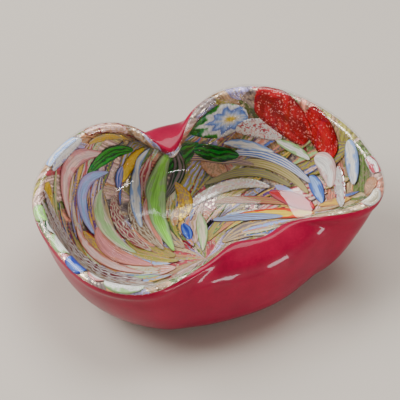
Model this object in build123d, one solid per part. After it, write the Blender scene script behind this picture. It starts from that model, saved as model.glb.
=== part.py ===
from build123d import *

import os
from math import comb

import numpy as np

# A thick art glass bowl, in millimetres, +Z up, standing on its ground foot at z = 0.
# A gather of red glass is lined with silver leaf and chips of coloured cane, cased inside with clear
# glass, opened out, and pinched in on both long sides, so that the rim runs round two lobes.
#
# A place in the wall is given by an azimuth about the bowl's axis, a level and a depth:
#   level -1 is the middle of the foot, 0 the foot's edge and 1 the rim;
#   depth is measured inwards from the outer skin.
# A place on the inside is also given by its azimuth and its run, which is 0 at the middle of the
# floor, FLOOR_RUN at the foot's edge, 1 at the rim and up to 1 + NOSE_RUN over the rim.

# The rim's outer edge: azimuth in degrees, distance from the axis, height.
RIM_COURSE = [
    (0, 81, 53),
    (28, 77.5, 55.5),
    (54, 71, 56.5),
    (67, 63.5, 54.5),
    (77, 52.5, 51),
    (85, 41, 47.5),
    (94, 37, 46),  # bottom of the back fold
    (100, 42.5, 47.5),
    (105, 56.5, 51),
    (115, 65, 53.5),
    (136, 73.5, 53.5),
    (163, 80.5, 49),
    (187, 78, 45.5),
    (212, 76.5, 44),
    (228, 68, 44),
    (241, 53, 45),
    (256, 41, 46),
    (270, 35, 46),  # the front fold runs from here
    (292, 39, 46),
    (310, 41.5, 46),  # to here
    (321, 53, 46),
    (327, 70, 47),
    (333, 81, 49),
    (346, 83.5, 51),
]

# Guide ovals that draw the wall up from the foot, as half length, half width and height.
FOOT = (36, 28, 0)
BELLY = (69, 57, 2)
BACK_SHOULDER = (74.6, 66, 28)
FRONT_SHOULDER = (74.6, 61, 28)
# For the back and the front: how much a fold draws the shoulder in, or pushes it out where negative,
# and how much it lifts the shoulder, for each unit of tuck.
FOLD_REACH = (-0.3, 0.12)
FOLD_LIFT = (80, 38)

WALL_AT_FOOT = 9.0
WALL_AT_RIM = 6.5
LINING_AT_FOOT = 2.0
LINING_AT_RIM = 1.3
MELT = 1.2  # the room that the chips take between silver leaf and lining
LEAF = 0.15  # silver leaf, drawn thicker than real leaf so that it is a sound solid
LEAF_GAP = 0.04

CASING_NOSE = 1.0  # how far each layer stands above the rim's outer edge
LINING_UNDER_NOSE = 2.3
RIM_NOSE = WALL_AT_RIM / 2
LIP_HEIGHT = 0.8  # the lining's lip ends this far above the rim's outer edge
LIP_INSET = 0.25

COLUMNS = 60  # points round each ring of a layer
WALL_RINGS = 10
FLOOR_LEVELS = (-0.35, -0.75)  # rings across the floor, the last one closed by a flat disc

FLOOR_RUN = 0.28
NOSE_RUN = 0.055
CHIP_THICK = 0.5
UNDER_CHIPS = -0.3  # the two courses of chips, measured from the middle of the melt
OVER_CHIPS = 0.3
CHIP_TIP = 0.08  # width left at a leaf's tip, as a share of its full width
CHIP_ROWS, CHIP_COLUMNS = 7, 4  # control points along and across a chip
MILLIMETRES_PER_RUN = 95  # for widths

# Chips of the upper course, by kind. Each has the azimuth in degrees and the run of its one end, its
# middle and its other end, its width, and its bluntness: 1 is a pointed leaf, 0.2 a blunt bar.
CHIPS = {
    "pink_cane_chips": [
        ((119, 0.87), (139, 0.92), (152, 0.72), 10, 0.9),
        ((143, 0.54), (153, 0.42), (170, 0.2), 8, 0.8),
        ((152, 0.66), (160, 0.5), (178, 0.24), 6, 0.8),
        ((104, 0.5), (112, 0.4), (135, 0.2), 5, 0.9),
        ((17, 0.79), (9, 0.79), (3, 0.72), 12, 0.5),
        ((203, 1.0), (207, 1.01), (211, 1.0), 4, 0.4),
    ],
    "blue_cane_chips": [
        ((120, 0.76), (137, 0.76), (148, 0.53), 8, 0.8),
        ((98, 0.72), (108, 0.6), (124, 0.36), 7, 0.7),
        ((91, 0.62), (101, 0.5), (114, 0.34), 5, 0.8),
        ((60, 0.75), (50, 0.74), (36, 0.73), 5, 0.8),
        ((4, 0.98), (358, 0.93), (351, 0.86), 11, 0.5),
        ((16, 0.69), (10, 0.66), (2, 0.62), 8, 0.6),
        ((30, 0.55), (22, 0.54), (12, 0.53), 5, 0.7),
    ],
    "pale_green_cane_chips": [
        ((86, 0.67), (101, 0.46), (140, 0.14), 9, 0.9),
        ((127, 0.69), (137, 0.56), (152, 0.28), 8, 0.9),
        ((36, 0.79), (27, 0.78), (19, 0.77), 5, 0.5),
        ((74, 0.33), (72, 0.2), (80, 0.05), 5, 0.9),
        ((211, 1.01), (218, 1.015), (226, 1.01), 6, 0.3),
        ((181, 1.0), (186, 1.01), (191, 1.0), 7, 0.3),
    ],
    "green_cane_chips": [
        ((104, 0.8), (116, 0.85), (131, 0.81), 8, 0.6),
        ((90, 0.72), (84, 0.58), (98, 0.44), 6, 0.8),
        ((167, 1.0), (170, 1.01), (174, 1.0), 9, 0.3),
        ((174, 1.0), (178, 0.99), (183, 0.98), 7, 0.5),
        ((76, 0.69), (66, 0.69), (52, 0.68), 9, 0.5),
        ((93, 0.55), (84, 0.63), (73, 0.74), 10, 0.7),
    ],
    "amber_glitter_chips": [
        ((100, 0.75), (107, 0.73), (115, 0.66), 8, 0.5),
        ((126, 0.96), (115, 0.96), (106, 0.93), 4, 0.4),
        ((153, 0.97), (157, 0.94), (162, 0.88), 8, 0.5),
        ((88, 0.5), (84, 0.4), (94, 0.3), 7, 0.7),
        ((151, 0.6), (155, 0.5), (162, 0.4), 6, 0.7),
    ],
    "lace_cane_ribbons": [
        ((158, 0.99), (164, 0.72), (186, 0.26), 7, 0.5),
        ((164, 1.0), (169, 0.74), (194, 0.24), 7, 0.5),
        ((171, 0.98), (176, 0.7), (202, 0.22), 7, 0.5),
        ((122, 0.62), (130, 0.48), (148, 0.22), 6, 0.7),
        ((112, 0.56), (121, 0.42), (142, 0.18), 6, 0.7),
    ],
    "striped_cane_ribbons": [
        ((84, 0.6), (68, 0.66), (44, 0.64), 5, 0.5),
        ((56, 0.69), (36, 0.7), (14, 0.66), 5, 0.4),
        ((54, 0.63), (34, 0.65), (12, 0.6), 5, 0.4),
        ((70, 0.5), (46, 0.59), (22, 0.58), 5, 0.5),
        ((62, 0.38), (40, 0.42), (14, 0.5), 5, 0.6),
        ((60, 0.26), (36, 0.3), (14, 0.4), 5, 0.6),
    ],
    "cream_glitter_canes": [
        ((88, 0.36), (56, 0.49), (32, 0.53), 7, 0.6),
        ((50, 0.3), (32, 0.34), (16, 0.42), 5, 0.6),
    ],
    "red_cane_ribbons": [
        ((31, 0.5), (16, 0.52), (4, 0.56), 9, 0.6),
        ((42, 0.3), (18, 0.4), (2, 0.54), 6, 0.5),
    ],
    "silver_fleck_chips": [
        ((55, 0.82), (45, 0.83), (34, 0.81), 9, 0.5),
        ((4, 0.84), (358, 0.77), (350, 0.72), 9, 0.6),
        ((148, 0.99), (138, 1.0), (129, 1.0), 6, 0.5),
    ],
    "red_foil_patches": [
        ((48, 0.97), (36, 0.93), (22, 0.86), 18, 0.3),
        ((26, 0.97), (17, 0.92), (8, 0.86), 16, 0.3),
    ],
    "copper_glitter_patches": [
        ((72, 0.62), (64, 0.6), (58, 0.55), 10, 0.5),
        ((345, 0.93), (341, 0.96), (337, 0.97), 9, 0.4),
        ((126, 1.015), (117, 1.02), (107, 1.01), 6, 0.4),
    ],
    "white_twist_canes": [
        ((148, 1.02), (140, 1.03), (131, 1.02), 4, 0.3),
        ((352, 1.015), (348, 1.02), (344, 1.015), 6, 0.3),
        ((336, 0.99), (332, 1.01), (329, 1.01), 8, 0.4),
        ((96, 1.01), (91, 1.02), (84, 1.01), 4, 0.4),
    ],
    "cobalt_cane_chips": [
        ((193, 1.01), (197, 1.015), (202, 1.01), 8, 0.3),
        ((92, 0.27), (93, 0.21), (98, 0.15), 5, 0.6),
        ((112, 0.74), (115, 0.7), (118, 0.64), 5, 0.6),
    ],
    "emerald_murrine_slices": [
        ((80, 0.84), (66, 0.87), (50, 0.88), 18, 0.5),
    ],
}

# Leaves of the lower course: rows of leaves that swirl from the rim to the middle of the floor.
SWIRL = 70  # degrees that the swirl turns from the rim to the middle
LEAVES_ROUND = 12
LEAF_WIDTH = 14
LEAF_ROWS = ((0.97, 0.64), (0.7, 0.36), (0.42, 0.12))  # runs at a leaf's two ends
LEAF_KINDS = ["smoke_cane_leaves", "rose_cane_leaves", "moss_cane_leaves"]


def oval_radius(oval, azimuth):
    half_length, half_width, _ = oval
    return 1 / np.hypot(np.cos(azimuth) / half_length, np.sin(azimuth) / half_width)


def rim_samples(count):
    """Points evenly spaced along the rim's outer edge."""
    stations = [
        (r * np.cos(np.radians(a)), r * np.sin(np.radians(a)), z) for a, r, z in RIM_COURSE
    ]
    edge = Edge.make_spline([Vector(*s) for s in stations], periodic=True)
    return np.array([tuple(edge.position_at(i / count)) for i in range(count)])


FINE_RIM = rim_samples(20 * COLUMNS)
FINE_RADIUS = np.hypot(FINE_RIM[:, 0], FINE_RIM[:, 1])
FINE_AZIMUTH = np.unwrap(np.arctan2(FINE_RIM[:, 1], FINE_RIM[:, 0]))
RING_AZIMUTHS = FINE_AZIMUTH[::20]


def outer_skin(azimuth, level):
    """Points of the outer skin: a cubic drawn from the foot past the belly and shoulder to the rim."""
    azimuth, level = np.broadcast_arrays(np.asarray(azimuth, float), np.asarray(level, float))
    rim_radius = np.interp(azimuth, FINE_AZIMUTH, FINE_RADIUS, period=2 * np.pi)
    rim_height = np.interp(azimuth, FINE_AZIMUTH, FINE_RIM[:, 2], period=2 * np.pi)
    back = (1 + np.sin(azimuth)) / 2
    shoulder = back * oval_radius(BACK_SHOULDER, azimuth)
    shoulder = shoulder + (1 - back) * oval_radius(FRONT_SHOULDER, azimuth)
    tuck = np.clip(1 - rim_radius / shoulder, 0, None)
    lift = back * FOLD_LIFT[0] + (1 - back) * FOLD_LIFT[1]
    reach = back * FOLD_REACH[0] + (1 - back) * FOLD_REACH[1]
    shoulder_height = BACK_SHOULDER[2] + lift * tuck
    shoulder = shoulder * (1 - reach * tuck)
    t = np.clip(level, 0, None)
    weights = ((1 - t) ** 3, 3 * t * (1 - t) ** 2, 3 * t * t * (1 - t), t**3)
    radii = (oval_radius(FOOT, azimuth), oval_radius(BELLY, azimuth), shoulder, rim_radius)
    heights = (FOOT[2], BELLY[2], shoulder_height, rim_height)
    radius = sum(w * r for w, r in zip(weights, radii))
    height = sum(w * h for w, h in zip(weights, heights))
    radius = np.where(level < 0, oval_radius(FOOT, azimuth) * (1 + level), radius)
    return np.stack([radius * np.cos(azimuth), radius * np.sin(azimuth), height], -1)


def unit(vectors):
    return vectors / np.linalg.norm(vectors, axis=-1, keepdims=True)


def directions(azimuth, level):
    """Unit vectors into the wall and up along it."""
    turn, climb = np.radians(1.5), 0.01
    low = np.clip(level, 0, 1 - climb)
    round_it = outer_skin(azimuth + turn, low) - outer_skin(azimuth - turn, low)
    up_it = outer_skin(azimuth, low + climb) - outer_skin(azimuth, low)
    inward = unit(np.cross(up_it, round_it))
    inward = np.where(np.asarray(level)[..., None] < 0, (0.0, 0.0, 1.0), inward)
    return inward, unit(up_it)


def in_wall(azimuth, level, depth):
    """Points at a depth below the outer skin."""
    azimuth, level = np.broadcast_arrays(np.asarray(azimuth, float), np.asarray(level, float))
    inward, _ = directions(azimuth, level)
    return outer_skin(azimuth, level) + inward * np.asarray(depth, float)[..., None]


def over_rim(azimuth, turn, outer_depth, inner_depth, height):
    """Points of a layer where it turns over the rim: turn is 0 outside and pi inside."""
    azimuth = np.asarray(azimuth, float)
    inward, upward = directions(azimuth, np.ones_like(azimuth))
    middle, half = (outer_depth + inner_depth) / 2, (inner_depth - outer_depth) / 2
    depth = np.asarray(middle - half * np.cos(turn))[..., None]
    rise = np.asarray(height * np.sin(turn))[..., None]
    return outer_skin(azimuth, np.ones_like(azimuth)) + inward * depth + upward * rise


def full_wall(level):
    return WALL_AT_FOOT + (WALL_AT_RIM - WALL_AT_FOOT) * np.clip(level, 0, 1)


def lining_depth(level):
    """Depth at which the clear lining begins."""
    lining = LINING_AT_FOOT + (LINING_AT_RIM - LINING_AT_FOOT) * np.clip(level, 0, 1)
    return full_wall(level) - lining


def melt_depth(level):
    """Depth of the middle of the chips."""
    return lining_depth(level) - MELT / 2


def casing_depth(level):
    """Depth at which the red casing ends."""
    return lining_depth(level) - MELT - LEAF - 2 * LEAF_GAP


def plan_centre():
    """Middle of the bowl's box in plan."""
    levels = np.linspace(0, 1, 41)
    walls = outer_skin(FINE_AZIMUTH[:, None], levels[None, :]).reshape(-1, 3)
    nose = [over_rim(FINE_AZIMUTH, turn, 0, WALL_AT_RIM, RIM_NOSE) for turn in (0.3, 0.6, 0.9)]
    points = np.vstack([walls, *nose])
    return (points.min(0) + points.max(0)) / 2 * (1, 1, 0)


CENTRE = plan_centre()


def ring(points):
    """A closed smooth wire through the points, in the bowl's own frame."""
    return Wire([Edge.make_spline([Vector(*p) for p in points - CENTRE], periodic=True)])


def wall_rings(depth_at, levels):
    return [ring(in_wall(RING_AZIMUTHS, level, depth_at(level))) for level in levels]


def nose_rings(turns, outer_depth, inner_depth, height):
    return [
        ring(over_rim(RING_AZIMUTHS, turn, outer_depth, inner_depth, height)) for turn in turns
    ]


def levels_up():
    """Levels from the foot to the rim, closer together near the rim."""
    return 1 - (1 - np.linspace(0, 1, WALL_RINGS)) ** 1.15


def red_casing():
    """The coloured outside, with its foot ground flat."""
    up = levels_up()
    outer = wall_rings(lambda level: 0.0, up)
    nose = nose_rings(np.pi * np.array([0.25, 0.5, 0.75]), 0.0, casing_depth(1.0), CASING_NOSE)
    inner = wall_rings(casing_depth, [*up[::-1], *FLOOR_LEVELS])
    return Solid.make_loft([*outer, *nose, *inner])


def silver_leaf():
    """A sheet over the whole inside of the casing, up to the rim."""
    levels = [*FLOOR_LEVELS[::-1], *levels_up()]
    outer = wall_rings(lambda level: casing_depth(level) + LEAF_GAP, levels)
    inner = wall_rings(lambda level: casing_depth(level) + LEAF_GAP + LEAF, levels)
    sides = [Shell.make_loft(rings).faces() for rings in (outer, inner)]
    edge = Shell.make_loft([outer[-1], inner[-1]], ruled=True).faces()
    discs = [Face(outer[0]), Face(inner[0])]
    return Solid(Shell([*sides[0], *sides[1], *edge, *discs]))


def clear_lining():
    """The clear inside. It turns out over the rim and ends in a thin lip on the casing."""
    up = levels_up()
    spread = np.array([0, 0.12, 0.35, 0.65])
    under_lip = np.arcsin(LIP_HEIGHT / LINING_UNDER_NOSE)
    under_turns = under_lip + (np.pi - under_lip) * spread
    cap_lip = np.arcsin(LIP_HEIGHT / RIM_NOSE)
    cap_turns = cap_lip + (np.pi - cap_lip) * spread
    outside = wall_rings(lining_depth, [*FLOOR_LEVELS[::-1], *up])
    under = nose_rings(under_turns[::-1], LIP_INSET, lining_depth(1.0), LINING_UNDER_NOSE)
    cap = nose_rings(cap_turns, 0.0, WALL_AT_RIM, RIM_NOSE)
    inside = wall_rings(full_wall, [*up[::-1], *FLOOR_LEVELS])
    return Solid.make_loft([*outside, *under, *cap, *inside])


def melt_place(azimuth, run, lift):
    """A point between casing and lining; lift is towards the inside of the bowl."""
    level = np.where(run < FLOOR_RUN, run / FLOOR_RUN - 1, (run - FLOOR_RUN) / (1 - FLOOR_RUN))
    level = np.clip(level, -1, 1)
    inside = in_wall(azimuth, level, melt_depth(level) + lift)
    turn = np.pi * (1 - np.clip((run - 1) / NOSE_RUN, 0, 1))
    nose_height = (CASING_NOSE + LINING_UNDER_NOSE) / 2 + lift
    nose = over_rim(azimuth, turn, LIP_INSET, melt_depth(1.0) + lift, nose_height)
    return np.where(run[..., None] > 1, nose, inside)


def on_chart(azimuth_degrees, run):
    """The inside laid flat: run is the distance from the middle."""
    azimuth = np.radians(azimuth_degrees)
    return np.array([run * np.cos(azimuth), run * np.sin(azimuth)])


def bezier_inverse(count):
    """Turns points at even steps of a Bezier curve into its control points."""
    degree = count - 1
    steps = np.linspace(0, 1, count)
    rows = [[comb(degree, k) * u**k * (1 - u) ** (degree - k) for k in range(count)] for u in steps]
    return np.linalg.inv(rows)


ALONG = bezier_inverse(CHIP_ROWS)
ACROSS = bezier_inverse(CHIP_COLUMNS)


def chip(start, middle, end, width, bluntness, course):
    """A thin leaf of glass in the melt, along a curve through three places."""
    first, last = on_chart(*start), on_chart(*end)
    bow = 2 * on_chart(*middle) - (first + last) / 2
    share = np.linspace(0, 1, CHIP_ROWS)[:, None]
    spine = first * (1 - share) ** 2 + 2 * bow * share * (1 - share) + last * share**2
    along = unit((bow - first) * (1 - share) + (last - bow) * share)
    across = np.stack([-along[:, 1], along[:, 0]], -1)
    belly = CHIP_TIP + (1 - CHIP_TIP) * np.sin(np.pi * share) ** bluntness
    half = width / 2 / MILLIMETRES_PER_RUN * belly
    side = np.linspace(-1, 1, CHIP_COLUMNS)
    flat = spine[:, None, :] + across[:, None, :] * (half * side)[..., None]
    azimuth, run = np.arctan2(flat[..., 1], flat[..., 0]), np.hypot(flat[..., 0], flat[..., 1])
    top, bottom = [
        np.einsum("ik,klm,jl->ijm", ALONG, melt_place(azimuth, run, course + lift) - CENTRE, ACROSS)
        for lift in (CHIP_THICK / 2, -CHIP_THICK / 2)
    ]
    edges = [np.stack([top[:, k], bottom[:, k]]) for k in (0, -1)]
    ends = [np.stack([top[k], bottom[k]]) for k in (0, -1)]
    nets = [top, bottom, *edges, *ends]
    faces = [Face.make_bezier_surface([[Vector(*p) for p in row] for row in net]) for net in nets]
    return Solid(Shell(faces))


def leaves_of(kind):
    """The lower course's leaves of one kind, which take turns round each row."""
    leaves = []
    for row, (far, near) in enumerate(LEAF_ROWS):
        for place in range(LEAVES_ROUND):
            if (place + 2 * row) % len(LEAF_KINDS) != LEAF_KINDS.index(kind):
                continue
            rim_azimuth = 360 * (place + row / 2) / LEAVES_ROUND
            places = [(rim_azimuth + SWIRL * (1 - run), run) for run in (far, (far + near) / 2, near)]
            leaves.append(chip(*places, LEAF_WIDTH * (0.4 + 0.6 * far), 0.8, UNDER_CHIPS))
    return leaves


def main():
    os.makedirs("parts", exist_ok=True)
    export_step(red_casing(), "parts/red_casing.step")
    export_step(silver_leaf(), "parts/silver_leaf.step")
    export_step(clear_lining(), "parts/clear_lining.step")
    for kind in LEAF_KINDS:
        export_step(Compound(children=leaves_of(kind)), f"parts/{kind}.step")
    for kind, chips in CHIPS.items():
        solids = [chip(*places_and_sizes, OVER_CHIPS) for places_and_sizes in chips]
        export_step(Compound(children=solids), f"parts/{kind}.step")


main()
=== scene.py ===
import math

import bmesh
import bpy
import numpy as np
from bpy.props import FloatProperty, FloatVectorProperty, IntProperty, PointerProperty
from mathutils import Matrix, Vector


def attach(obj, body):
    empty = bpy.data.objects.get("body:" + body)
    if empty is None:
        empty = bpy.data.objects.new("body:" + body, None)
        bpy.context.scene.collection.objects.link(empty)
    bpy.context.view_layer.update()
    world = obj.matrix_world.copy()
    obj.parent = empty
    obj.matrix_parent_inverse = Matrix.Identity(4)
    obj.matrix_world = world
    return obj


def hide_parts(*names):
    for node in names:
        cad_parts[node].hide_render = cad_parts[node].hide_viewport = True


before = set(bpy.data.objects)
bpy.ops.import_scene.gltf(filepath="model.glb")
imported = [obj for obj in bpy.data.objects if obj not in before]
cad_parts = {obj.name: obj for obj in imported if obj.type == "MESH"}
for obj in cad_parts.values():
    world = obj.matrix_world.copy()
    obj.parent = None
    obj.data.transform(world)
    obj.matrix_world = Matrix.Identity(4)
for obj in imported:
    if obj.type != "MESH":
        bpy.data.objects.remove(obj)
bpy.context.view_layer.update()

bl_info = {
    "name": "Art glass bowl",
    "version": (1, 0, 0),
    "blender": (4, 5, 0),
    "location": "3D View > Sidebar > Glass bowl",
    "description": "Builds a pinched art glass bowl: casing, foil, cane chips and clear lining",
    "category": "Add Mesh",
}

# The bowl's shape, in millimetres about the bowl's own axis. A place in the wall has an azimuth, a
# level (-1 the middle of the foot, 0 the foot's edge, 1 the rim) and a depth below the outer skin.
# A place on the inside has an azimuth and a run (0 the middle of the floor, FLOOR_RUN at the foot's
# edge, 1 the rim, and up to 1 + NOSE_RUN over the rim).

# The rim's outer edge: azimuth in degrees, distance from the axis, height.
RIM_COURSE = [
    (0, 81, 53), (28, 77.5, 55.5), (54, 71, 56.5), (67, 63.5, 54.5), (77, 52.5, 51), (85, 41, 47.5),
    (94, 37, 46), (100, 42.5, 47.5), (105, 56.5, 51), (115, 65, 53.5), (136, 73.5, 53.5),
    (163, 80.5, 49), (187, 78, 45.5), (212, 76.5, 44), (228, 68, 44), (241, 53, 45), (256, 41, 46),
    (270, 35, 46), (292, 39, 46), (310, 41.5, 46), (321, 53, 46), (327, 70, 47), (333, 81, 49),
    (346, 83.5, 51),
]
RIM_STEPS = 60  # points of the spline between two of those places
RIM_POINTS = 1200  # points kept, evenly spaced round the rim

# Guide ovals that draw the wall up from the foot, as half length, half width and height.
FOOT = (36, 28, 0)
BELLY = (69, 57, 2)
BACK_SHOULDER = (74.6, 66, 28)
FRONT_SHOULDER = (74.6, 61, 28)
# For the back and the front: how much a fold draws the shoulder in, or pushes it out where negative,
# and how much it lifts the shoulder, for each unit of tuck.
FOLD_REACH = (-0.3, 0.12)
FOLD_LIFT = (80, 38)

WALL = (9.0, 6.5)  # thickness at the foot and at the rim, as for the lining
LINING = (2.0, 1.3)
MELT = 1.2  # the room that foil and chips take between casing and lining
NOSE = 1.65  # how far the melt, the lining's underside and its top stand above the rim's outer edge
LINING_UNDER_NOSE = 2.3
RIM_NOSE = 3.25
LIP_HEIGHT = 0.8  # the lining's lip ends this far above the rim's outer edge
LIP_INSET = 0.25
FLOOR_RUN = 0.28
NOSE_RUN = 0.055

# Heights in the melt, measured from its middle towards the inside of the bowl.
UNDER = -0.3
MIDDLE = 0.0
OVER = 0.3
STAGGER = 0.07  # the most that a chip lies off its course
STAGGER_STEPS = 5
FOIL_LIFT = -0.55
FOIL_RIM_LIFT = -0.2  # at the rim, where the foil rises over the casing's round edge
FOIL_RISE_RUNS = (0.9, 1)

SEAM = math.radians(290)  # where the foil's and the lining's grids close, in the front fold
FOIL_RIM_ROW = 0.8  # share of the foil's rows below the rim
FOIL_NOSE_SHARE = 0.85  # how much of the way over the rim the foil goes
LINING_ROW_SHARES = (0, 0.3, 0.4, 0.6, 1)  # where along its rows the lining reaches each step
FOIL_THICKNESS = 0.00008  # metres
MERGE = 0.000005  # metres; corners closer than this become one

MILLIMETRES_PER_RUN = 95  # for widths and lengths of chips
TIP = 0.08  # width left at a chip's tip, as a share of its full width
CHART_STEP = 3.7  # how far each chip's texture is shifted from the one before
MURRINA_WIDTH, MURRINA_EYE = 1.8, 3.3  # centimetres


TONES = {
    "silver": (0.98, 0.97, 0.95), "blush": (0.9, 0.3, 0.26), "ruby": (0.3, 0.004, 0.008),
    "white": (0.82, 0.8, 0.76), "cream": (0.66, 0.58, 0.42), "sand": (0.58, 0.43, 0.24),
    "tan": (0.42, 0.26, 0.14), "smoke": (0.22, 0.17, 0.17),
    "pink": (0.7, 0.27, 0.27), "pale_pink": (0.78, 0.52, 0.48), "salmon": (0.65, 0.24, 0.17),
    "rose": (0.48, 0.07, 0.1), "wine": (0.22, 0.01, 0.03), "red": (0.5, 0.008, 0.015),
    "scarlet": (0.72, 0.05, 0.015), "yellow": (0.8, 0.55, 0.04),
    "amber": (0.66, 0.36, 0.01), "gold": (0.7, 0.42, 0.08), "olive": (0.36, 0.33, 0.07),
    "moss": (0.13, 0.2, 0.06), "pale_green": (0.4, 0.62, 0.26), "lime": (0.32, 0.78, 0.1),
    "green": (0.01, 0.3, 0.02), "dark_green": (0.003, 0.06, 0.012), "sky": (0.3, 0.45, 0.8),
    "blue": (0.08, 0.17, 0.55), "cobalt": (0.02, 0.04, 0.35), "lavender": (0.4, 0.36, 0.68),
    "purple": (0.14, 0.06, 0.22), "copper": (0.56, 0.26, 0.12), "peach": (0.7, 0.4, 0.25),
}

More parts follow.
